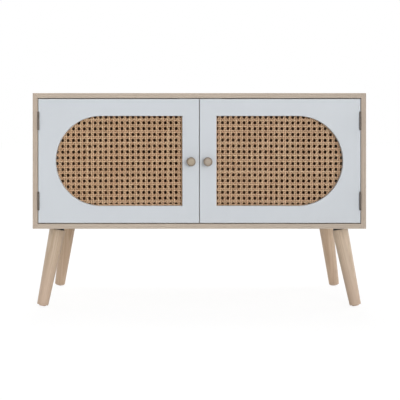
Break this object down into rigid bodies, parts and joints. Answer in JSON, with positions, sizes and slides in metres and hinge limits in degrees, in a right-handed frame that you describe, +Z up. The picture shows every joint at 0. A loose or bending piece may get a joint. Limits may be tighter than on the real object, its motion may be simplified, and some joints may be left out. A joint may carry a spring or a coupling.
{
  "type": "record cabinet",
  "caption": "Low cabinet for records: light oak carcass on splayed tapered legs, inset pale doors with D-shaped cane panels, round wooden knobs and butt hinges.",
  "frame": {"origin": "on the floor, under the middle of the whole cabinet with its knobs", "axes": "+X to the right as seen from the front, +Y to the back, +Z up"},
  "size_m": [1, 0.445, 0.653],
  "materials": {
    "carcass_board": "light oak, matt",
    "back_board": "hardboard, matt",
    "dowel_wood": "beech, bare",
    "zinc_fitting": "zinc, satin",
    "steel_screw": "zinc plated",
    "hinge_metal": "aged nickel, satin",
    "steel_plate": "zinc plated",
    "magnet": "ferrite, matt",
    "catch_plastic": "white, satin",
    "door_lacquer": "pale grey lacquer, satin",
    "cane": "woven rattan cane, natural",
    "retainer_wood": "bare wood",
    "brad_steel": "bright",
    "knob_wood": "turned oak, matt",
    "bumper_plastic": "clear silicone",
    "leg_wood": "turned oak, matt",
    "leg_plate_steel": "black, satin",
    "glide_plastic": "natural nylon"
  },
  "bodies": {
    "root": {"top_panel": "carcass_board", "bottom_panel": "carcass_board", "left_side_panel": "carcass_board", "right_side_panel": "carcass_board", "centre_partition": "carcass_board", "back_panel": "back_board", "carcass_dowels": "dowel_wood", "cam_bolts": "zinc_fitting", "cam_locks": "zinc_fitting", "partition_screws": "steel_screw", "hinge_pins": "hinge_metal", "hinge_frame_screws": "steel_screw", "catch_magnets": "magnet", "catch_pole_plates": "steel_plate", "catch_screws": "steel_screw", "hanger_bolts": "steel_screw", "leg_plate_screws": "steel_screw", "foot_glides": "glide_plastic", "left_lower_hinge_frame_leaf": "hinge_metal", "left_upper_hinge_frame_leaf": "hinge_metal", "left_catch_housing": "catch_plastic", "right_lower_hinge_frame_leaf": "hinge_metal", "right_upper_hinge_frame_leaf": "hinge_metal", "right_catch_housing": "catch_plastic", "front_left_leg": "leg_wood", "front_left_leg_plate": "leg_plate_steel", "front_right_leg": "leg_wood", "front_right_leg_plate": "leg_plate_steel", "rear_left_leg": "leg_wood", "rear_left_leg_plate": "leg_plate_steel", "rear_right_leg": "leg_wood", "rear_right_leg_plate": "leg_plate_steel"},
    "left_door_assembly": {"left_door": "door_lacquer", "left_cane": "cane", "left_cane_retainer": "retainer_wood", "left_brads": "brad_steel", "left_knob": "knob_wood", "left_knob_screw": "steel_screw", "left_lower_hinge_door_leaf": "hinge_metal", "left_upper_hinge_door_leaf": "hinge_metal", "left_hinge_door_screws": "steel_screw", "left_strike_plate": "steel_plate", "left_strike_screws": "steel_screw", "left_bumpers": "bumper_plastic"},
    "right_door_assembly": {"right_door": "door_lacquer", "right_cane": "cane", "right_cane_retainer": "retainer_wood", "right_brads": "brad_steel", "right_knob": "knob_wood", "right_knob_screw": "steel_screw", "right_lower_hinge_door_leaf": "hinge_metal", "right_upper_hinge_door_leaf": "hinge_metal", "right_hinge_door_screws": "steel_screw", "right_strike_plate": "steel_plate", "right_strike_screws": "steel_screw", "right_bumpers": "bumper_plastic"}
  },
  "joints": [
    {"name": "left_door_hinge", "type": "hinge", "parent": "root", "child": "left_door_assembly", "pos_m": [-0.4821, -0.2006, 0.4495], "axis": [0, 0, -1], "range_deg": [0, 180]},
    {"name": "right_door_hinge", "type": "hinge", "parent": "root", "child": "right_door_assembly", "pos_m": [0.4821, -0.2006, 0.4495], "axis": [0, 0, 1], "range_deg": [0, 180]}
  ]
}
